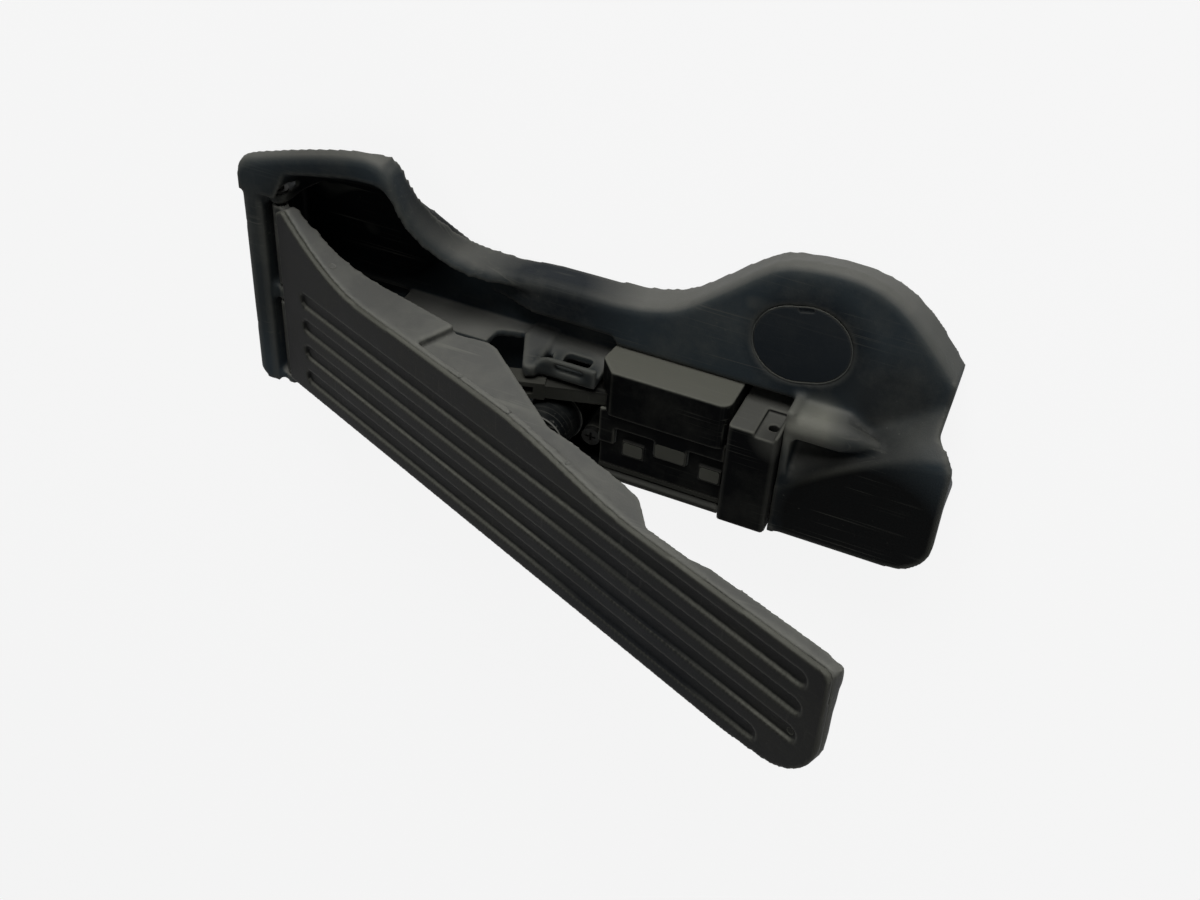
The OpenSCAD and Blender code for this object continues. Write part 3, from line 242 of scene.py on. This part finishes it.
def moulded(node, voxel, easing, paint, body, fairings=()):
    """Piece that stands for a CAD node, with the rounded edges of a moulding. Fairings are sets of
    corners, in millimetres, whose hulls fill sharp inner corners."""
    mesh = nodes[node].data.copy()
    mesh.materials.clear()
    shape = bmesh.new()
    shape.from_mesh(mesh)
    bmesh.ops.remove_doubles(shape, verts=shape.verts, dist=1e-6)
    for corners in fairings:
        made = [shape.verts.new(Vector(corner) * MM) for corner in corners]
        bmesh.ops.convex_hull(shape, input=made)
    shape.to_mesh(mesh)
    shape.free()
    piece = bpy.data.objects.new(node + "_moulding", mesh)
    scene.collection.objects.link(piece)
    remesh = piece.modifiers.new("remesh", "REMESH")
    remesh.mode = "VOXEL"
    remesh.voxel_size = voxel * MM
    remesh.use_smooth_shade = True
    ease = piece.modifiers.new("ease", "SMOOTH")
    ease.factor = 0.5
    ease.iterations = easing
    evaluated = piece.evaluated_get(bpy.context.evaluated_depsgraph_get())
    piece.data = bpy.data.meshes.new_from_object(evaluated)
    piece.modifiers.clear()
    piece.data.materials.clear()
    piece.data.materials.append(paint)
    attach(piece, body)
    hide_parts(node)
    return piece


def painted(paint, *names):
    """Gives CAD nodes that keep their own mesh a finish."""
    for name in names:
        nodes[name].data.materials.clear()
        nodes[name].data.materials.append(paint)


# The spots are the pale boss and five darker places, which are painted shade in the hollows and
# creases. The dark patches are the toe end of the deck, painted near black, and painted shade on
# the bay's far wall and at the foot of the left wall
housing_plastic = plastic(
    "polyamide_housing", "#30373b", "#5f5f5b", "#585852", scratch=0.35, specular=0.1,
    spots=(((-2, 192, 22), 7, 7, "#6a6a62"),
           ((-20, 95, 12), 12, 22, "#1c2023"),
           ((-27, 186, 13), 16, 8, "#1d2226"),
           ((-12, -6, 30), 24, 20, "#272b2c"),
           ((2, 108, 26), 10, 6, "#262a2b"),
           ((-14, 216, 16), 10, 12, "#2a2d2e")),
    dark_patches=(((32, 216, 27), 26, 16, "#020303"),
           ((42, 140, 22), 32, 8, "#0b0c0c"),
           ((-30, 24, 4), 30, 14, "#030506")))
# The boss runs into the deck's slope without a gap below its nose
boss_fairing = [
    (-5.4, 188, 13), (-4.6, 188, 21.5), (-1, 188, 24.6), (3.4, 188, 22.4), (6.5, 188, 14),
    (-6, 204, 13), (-3.6, 205, 19.5), (-1, 206, 22), (4, 206, 21), (8, 206, 14),
    (0, 213, 15), (5, 213, 16)]
moulded("housing", 1.0, 3, housing_plastic, "base", [boss_fairing])

# Oval cap: a clean disc moulded in black polypropylene, pressed into the wing over the toe fixing,
# with a pry notch. Its skin is smoother than the housing's, and dust has packed into its seam.
cap_plastic = plastic("polypropylene_cap", "#1d2226", "#202426", "#41413d", cloud_share=0.15,
                      grain_mm=0.4, rough=0.5, scratch=0.2, edge=0.4)
moulded("bolt_cap", 0.25, 2, cap_plastic, "base")


def finished(shape, name, paint, body):
    """New piece from a bmesh, riding on a body."""
    mesh = bpy.data.meshes.new(name)
    shape.to_mesh(mesh)
    shape.free()
    mesh.materials.append(paint)
    piece = bpy.data.objects.new(name, mesh)
    scene.collection.objects.link(piece)
    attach(piece, body)
    return piece


cap_turn = radians(14.5)
cap_radius = 14
half_straight = 2.5
seam_inside, seam_outside = -0.2, 0.16
seam_height = 0.25
seam_sunk = 0.22
cap_low, cap_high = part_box("bolt_cap")
cap_middle = (cap_low + cap_high) / 2
shape = bmesh.new()
for grow in (seam_inside, seam_outside):
    bmesh.ops.create_circle(shape, segments=96, radius=(cap_radius + grow) * MM)
bmesh.ops.bridge_loops(shape, edges=shape.edges[:])
for vert in shape.verts:
    vert.co.y += half_straight * MM * (1 if vert.co.y > 0 else -1)
raised = bmesh.ops.extrude_face_region(shape, geom=shape.faces[:])["geom"]
bmesh.ops.translate(shape, verts=[v for v in raised if isinstance(v, bmesh.types.BMVert)],
                    vec=(0, 0, seam_height * MM))
bmesh.ops.recalc_face_normals(shape, faces=shape.faces)
bmesh.ops.rotate(shape, verts=shape.verts, matrix=Matrix.Rotation(cap_turn, 3, "Z"))
bmesh.ops.translate(shape, verts=shape.verts, vec=(cap_middle.x, cap_middle.y, cap_high.z - seam_sunk * MM))
# Dry road dust is quite matt, and a clearer grey than the dust and painted light on the left faces
seam_dust = plastic("grey_dust_in_seam", "#4d4f4c", "#6b6b64", "#2a2a28", cloud_share=0.7,
                    grain_mm=0.3, rough=0.9, scratch=0, edge=0)
finished(shape, "cap_seam_dust", seam_dust, "base")


# Mounting sleeves, hinge pin, clip and shafts: drawn and turned from steel, and pressed or pushed
# into their bores. The zinc plating has gone dull and stained, and the pin is nearly black.
def metal(name, colour, stain, rough, grain_mm):
    """Metal with cloudy staining and fine turning marks."""
    paint = bpy.data.materials.new(name)
    paint.use_nodes = True
    tree = paint.node_tree
    tree.nodes.clear()
    place = add(tree, "ShaderNodeTexCoord")
    # Stains about 5 mm across
    cloud = add(tree, "ShaderNodeTexNoise", {"Scale": per_metre(4.54545), "Detail": 6, "Roughness": 0.6},
                {"Vector": (place, "Object")})
    share = add(tree, "ShaderNodeMapRange", {"From Min": 0.4, "From Max": 0.65, "To Max": 0.8},
                {"Value": (cloud, 0)})
    # Turning marks a grain's width apart and about 17 mm long
    stretch = add(tree, "ShaderNodeMapping",
                  {"Scale": [per_metre(size) for size in (grain_mm, 16.6667, 16.6667)]},
                  {"Vector": (place, "Object")})
    lines = add(tree, "ShaderNodeTexNoise", {"Scale": 1, "Detail": 2}, {"Vector": (stretch, 0)})
    bump = add(tree, "ShaderNodeBump", {"Strength": 0.25, "Distance": 0.1 * MM}, {"Height": (lines, 0)})
    gloss = add(tree, "ShaderNodeMapRange", {"To Min": rough - 0.1, "To Max": rough + 0.2},
                {"Value": (cloud, 0)})
    skin = add(tree, "ShaderNodeBsdfPrincipled", {"Metallic": 1},
               {"Base Color": layered(tree, colour, [(share, stain)]), "Roughness": (gloss, 0),
                "Normal": (bump, 0)})
    add(tree, "ShaderNodeOutputMaterial", None, {"Surface": (skin, 0)})
    return paint


dull_zinc = metal("dull_zinc_plated_steel", "#6a6a68", "#2b2a28", rough=0.45, grain_mm=0.3)
painted(dull_zinc, "mounting_sleeves", "lever_shaft")
pin_steel = metal("blackened_pin_steel", "#2b2b2a", "#161615", rough=0.5, grain_mm=0.3)
painted(pin_steel, "hinge_pin", "pin_clip", "roller_axle")

# Pedal carrier: the stiff half of the pad, moulded in the same polyamide as the housing and hung on
# the hinge pin. Its long side web is the palest face of the module, with a coat of dry dust and
# painted light on its left face.
carrier_plastic = plastic("polyamide_carrier", "#232423", "#50504d", "#6a6a63", cloud_share=0.4,
                          scratch=0.5)
carrier = moulded("pedal_carrier", 0.85, 3, carrier_plastic, "pedal")

# Ejector marks: shallow dished rings that the mould's pins left in the carrier's web, in the same
# polyamide. They lie on the web's left face, where their rims catch the light.
pad_slope = radians(23.1)
hinge_top = 32


def on_pedal(x, along, depth):
    """Point given by its X, its way along the pad from the hinge and its depth below the pad."""
    return Vector((x, along * cos(pad_slope) + depth * sin(pad_slope),
                   hinge_top + along * sin(pad_slope) - depth * cos(pad_slope))) * MM


def ring_mark(shape, place, facing, radius):
    """Shallow dished ring round a place on a surface that faces a given way."""
    height, dish = 0.3, 0.14
    made = bmesh.ops.create_cone(shape, cap_ends=True, segments=32, radius1=radius * MM,
                                 radius2=radius * 0.9 * MM, depth=height * MM)["verts"]
    faces = {face for vert in made for face in vert.link_faces}
    top = max(faces, key=lambda face: face.calc_center_median().z)
    bmesh.ops.inset_individual(shape, faces=[top], thickness=0.25 * radius * MM, depth=0)
    bmesh.ops.translate(shape, verts=top.verts, vec=(0, 0, -dish * MM))
    fresh = [vert for vert in shape.verts if not vert.tag]
    bmesh.ops.rotate(shape, verts=fresh, matrix=facing.to_track_quat("Z", "Y").to_matrix())
    bmesh.ops.translate(shape, verts=fresh, vec=place)
    for vert in fresh:
        vert.tag = True


bpy.context.view_layer.update()
surface = BVHTree.FromObject(carrier, bpy.context.evaluated_depsgraph_get())
left_of_module = -80
shape = bmesh.new()
for along, depth, radius in ((26.5, 5.1, 1.3), (97.5, 2.9, 0.8), (120.5, 3, 0.8), (146.6, 3.5, 0.8)):
    hit, facing, _, _ = surface.ray_cast(on_pedal(left_of_module, along, depth), Vector((1, 0, 0)))
    ring_mark(shape, hit, facing, radius)
finished(shape, "ejector_marks", carrier_plastic, "pedal")

# Tread: a soft skin of thermoplastic elastomer, moulded over the carrier, with the small round mark
# of the mould's gate near its toe end. A dull olive black, worn pale along the grooves' edges, with
# a painted highlight there, and painted light on the left faces.
tread_skin = plastic("elastomer_tread", "#10100f", "#5c5c55", "#44443e", cloud_share=0.2,
                     grain_mm=0.35, scratch=0.18, specular=0.16, edge=0.8,
                     dark_patches=(((44, 170, 95), 26, 30, "#101214"),))
moulded("pedal_tread", 0.62, 1, tread_skin, "pedal")
pad_up = Vector((0, -sin(pad_slope), cos(pad_slope)))
shape = bmesh.new()
ring_mark(shape, on_pedal(18.8, 241.9, 1.1), pad_up, 1.4)
finished(shape, "tread_gate_mark", tread_skin, "pedal")

# Sensor cover: moulded in glass-filled polyester, and latched down over the lever and its springs.
# Its side walls are grey with dust and painted light from the left, and its top is nearly black.
cover_plastic = plastic("polyester_cover", "#040506", "#56564f", "#5e5e57", cloud_share=0.12,
                        grain_mm=0.4, specular=0.05)
moulded("sensor_cover", 0.42, 3, cover_plastic, "base")

# Connector block: a block of the same black polyester at the sensor's toe end, with the socket for
# the loom. It is dusty where it meets the housing.
# Its left faces are painted lighter, as painted light from the left.
block_plastic = plastic("polyester_connector", "#060708", "#4c4c48", "#5e5e57", cloud_share=0.12,
                        grain_mm=0.4, specular=0.05,
                        spots=(((2, 184, 27), 4, 6, "#3a3a37"),))
moulded("connector_block", 0.45, 2, block_plastic, "base")

# Electronics box, its lid and the lever: moulded in black polyester. The box is screwed to the
# housing beside the cover, deep in the bay and in shadow, so it looks almost black.
box_plastic = plastic("polyester_box", "#050607", "#1a1a19", "#4a4a44", cloud_share=0.2,
                      grain_mm=0.4, rough=0.5, specular=0.05)
moulded("sensor_housing", 0.4, 2, box_plastic, "base")
painted(box_plastic, "electronics_lid", "lever")


# Dust line: grey dust packed into the gap round the cover's tongues. It follows the tongues' edges
# as one thin rounded line.
def line_along(name, corners, radius, paint, body):
    """Thin rounded line through corners, in millimetres."""
    curve = bpy.data.curves.new(name, "CURVE")
    curve.dimensions = "3D"
    curve.bevel_depth = radius * MM
    curve.bevel_resolution = 3
    spline = curve.splines.new("POLY")
    spline.points.add(len(corners) - 1)
    for point, corner in zip(spline.points, corners):
        point.co = (*[c * MM for c in corner], 1)
    curve.materials.append(paint)
    piece = bpy.data.objects.new(name, curve)
    scene.collection.objects.link(piece)
    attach(piece, body)


gap_z = 24.75
skirt_x, inner_x, outer_x, tongue_x = 19.65, 20.6, 25.9, 26.65
gap_corners = [
    (24, 121.4), (outer_x, 121.4), (tongue_x, 122.2), (tongue_x, 126.8), (outer_x, 127.65),
    (inner_x, 127.65), (skirt_x, 128.5), (skirt_x, 141), (inner_x, 141.85), (outer_x, 141.85),
    (tongue_x, 142.6), (tongue_x, 153.4), (outer_x, 154.15), (inner_x, 154.15), (skirt_x, 155),
    (skirt_x, 166.5)]
line_along("tongue_dust_heel", [(x, y, gap_z) for x, y in gap_corners], 0.28, seam_dust, "base")

# Dust patches: thin caked dust on the cover's middle tongue and on the two latch noses beside it.
# It is a matt brownish grey, and lies on the cover's plastic as a low crust.
latch_dust = plastic("dust_on_latches", "#34342f", "#4a4a44", "#5c5c55", cloud_share=0.6,
                     grain_mm=0.3, rough=0.9, edge=0.6, specular=0.05)


def dust_patch(name, low, high, paint, body):
    """Thin patch with rounded corners, between two corners in millimetres."""
    shape = bmesh.new()
    bmesh.ops.create_cube(shape, size=1)
    low, high = Vector(low) * MM, Vector(high) * MM
    bmesh.ops.scale(shape, verts=shape.verts, vec=high - low)
    bmesh.ops.translate(shape, verts=shape.verts, vec=(high + low) / 2)
    upright = [edge for edge in shape.edges if abs(edge.verts[0].co.z - edge.verts[1].co.z) > 1e-6]
    bmesh.ops.bevel(shape, geom=upright, offset=0.9 * MM, affect="EDGES", segments=5, profile=0.5,
                    material=-1)
    finished(shape, name, paint, body)


for name, low, high in (
        ("tongue_dust", (20.3, 142.7, 25.8), (25.9, 153.3, 26.05)),
        ("heel_latch_dust", (24.5, 131, 25.4), (29.5, 138, 25.65)),
        ("toe_latch_dust", (24.5, 159, 25.4), (29.5, 166, 25.65))):
    dust_patch(name, low, high, latch_dust, "base")

# Kickdown drum and plunger: moulded in acetal. Two screws hold the drum in the bay, and the plunger
# slides in it. The plastic is smooth and a little shinier, with grey scuffs and a painted highlight
# round the rim.
acetal = plastic("acetal_drum", "#040506", "#0f1112", "#70706a", cloud_share=0.1, grain_mm=0.3,
                 rough=0.36, scratch=0.4, edge=0.9, specular=0.12)
moulded("kickdown_drum", 0.3, 2, acetal, "base")
painted(acetal, "kickdown_plunger")

# Screws: cold-formed in steel with a dark phosphate coat, one in the sensor box's lug and two at the
# drum's foot. They look dark grey and matt.
dark_screw = metal("phosphated_screw_steel", "#3a3a38", "#22211f", rough=0.55, grain_mm=0.3)
painted(dark_screw, "box_screws")

# Springs: wound from oil-hardened wire, two round the lever's shaft and one under the plunger. The
# wire is dark, brownish and slightly shiny.
spring_wire = metal("oil_hardened_spring_wire", "#45443f", "#2a2623", rough=0.35, grain_mm=0.2)
painted(spring_wire, "return_spring", "assist_spring", "kickdown_spring")

# Shaft bushes: two sleeves of sintered bronze that carry the lever's shaft. They are soaked in oil,
# which makes them brown and dull.
bronze = metal("sintered_bronze", "#8a6a3c", "#4d3a22", rough=0.45, grain_mm=0.15)
painted(bronze, "shaft_bushes")

# Terminals: six straight pins of tinned brass, set in the connector block. They show as thin
# straw-coloured bars in the socket.
pin_brass = metal("tinned_brass_pins", "#b59a5a", "#7d6a42", rough=0.3, grain_mm=0.2)
painted(pin_brass, "terminals")

# Rotor magnet: pressed from ferrite powder, and turned by the lever's shaft in front of the sensor.
# It is a matt charcoal with a fine, even grain.
ferrite = plastic("pressed_ferrite", "#2b2b2d", "#2f2f31", "#4a4a4a", grain_mm=0.2, rough=0.5)
painted(ferrite, "rotor_magnet")

# Circuit board: woven glass under green lacquer, fixed in the electronics box. The lacquer is
# fairly glossy, and its grain is as coarse as the weave below it.
lacquer = plastic("green_board_lacquer", "#0f3a22", "#14442a", "#2f5a3e", grain_mm=0.6, rough=0.35,
                  scratch=0.1)
painted(lacquer, "circuit_board")

# Cover seal and lever stop: moulded in black nitrile rubber. The seal lies between cover and box,
# and the stop meets the lever at rest. Both are dull and finely pitted.
nitrile = plastic("nitrile_rubber", "#171717", "#1d1d1c", "#3a3a37", grain_mm=0.25, rough=0.7,
                  scratch=0.1)
painted(nitrile, "cover_seal", "lever_stop")

# Drive roller: turned from natural polyamide, and free on its axle in the lever's fork. It is an
# oily cream grey with dirt worn into it.
natural_nylon = plastic("natural_nylon_roller", "#6d6a60", "#77746a", "#3a3833", cloud_share=0.7,
                        grain_mm=0.3, rough=0.4, scratch=0.2)
painted(natural_nylon, "drive_roller")

# Friction shoe: a lining of filled acetal that rubs on the lever's hub. It is a dull tan brown, with
# darker dirt in clouds.
lining = plastic("friction_lining", "#4a3d2c", "#524533", "#2f271d", cloud_share=0.5, grain_mm=0.3,
                 rough=0.6, scratch=0.2)
painted(lining, "friction_shoe")

scene.view_settings.view_transform = "Standard"
